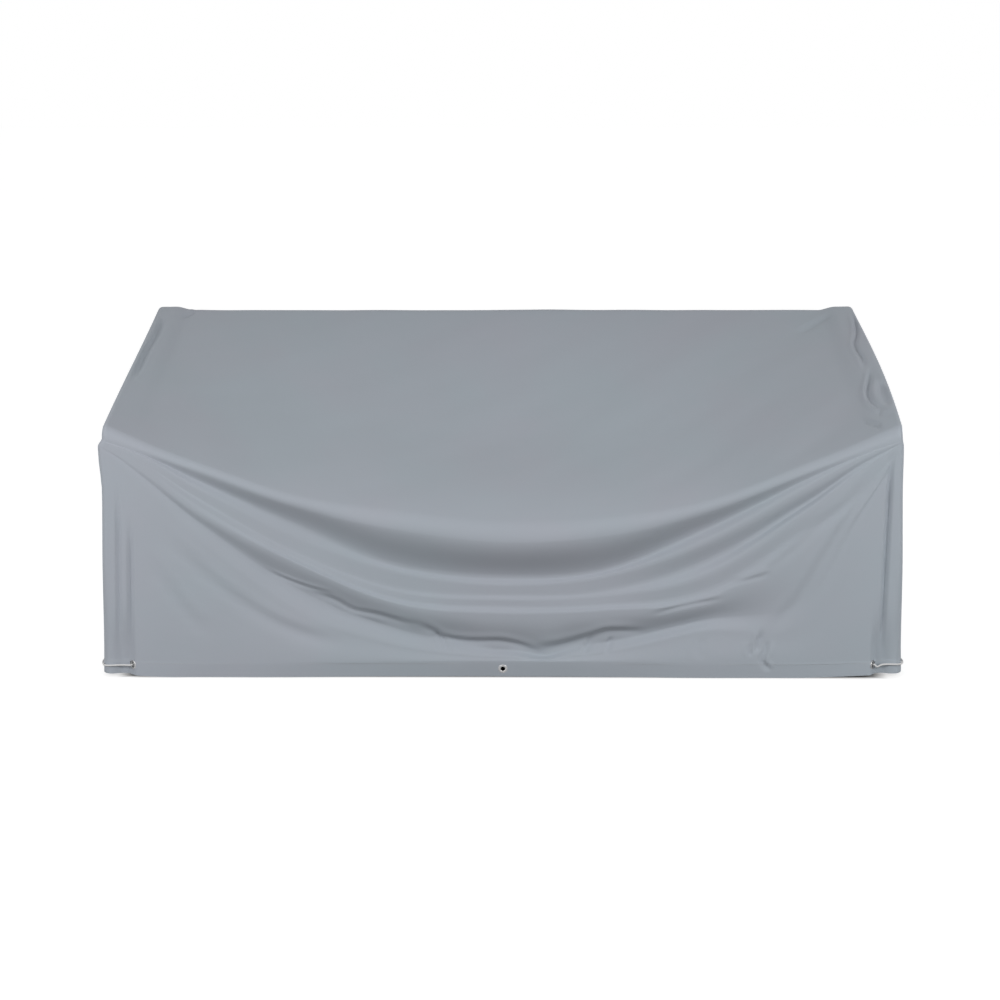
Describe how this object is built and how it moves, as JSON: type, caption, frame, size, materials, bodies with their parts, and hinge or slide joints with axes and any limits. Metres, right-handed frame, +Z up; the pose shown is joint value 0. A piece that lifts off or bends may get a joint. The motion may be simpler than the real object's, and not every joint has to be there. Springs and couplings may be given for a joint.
{
  "type": "patio furniture cover",
  "caption": "Fitted cloth cover draped over a garden sofa, with swag folds across the front, a hem with metal eyelets, and cord ties round the front corners.",
  "frame": {"origin": "under the top, at the middle of the back rail that carries the cover, against the inner face of the cloth", "axes": "X runs along the width to the viewer's right, Y points from the front to the back, Z is up"},
  "size_m": [2.1668, 0.943, 0.8954],
  "materials": {
    "cover_cloth": "fine plain weave with a matt coating, blue-grey",
    "eyelet_metal": "pressed, softly polished, a little dulled outdoors",
    "tie_cord": "round braided cord, pale grey"
  },
  "bodies": {
    "root": {"panel_front_top": "cover_cloth", "panel_back": "cover_cloth", "side_left": "cover_cloth", "side_right": "cover_cloth", "hem_front": "cover_cloth", "hem_left": "cover_cloth", "hem_right": "cover_cloth", "eyelet_front_centre": "eyelet_metal", "eyelet_front_left": "eyelet_metal", "eyelet_front_right": "eyelet_metal", "eyelet_side_left": "eyelet_metal", "eyelet_side_right": "eyelet_metal", "tie_cord_left": "tie_cord", "tie_cord_right": "tie_cord"}
  },
  "joints": []
}
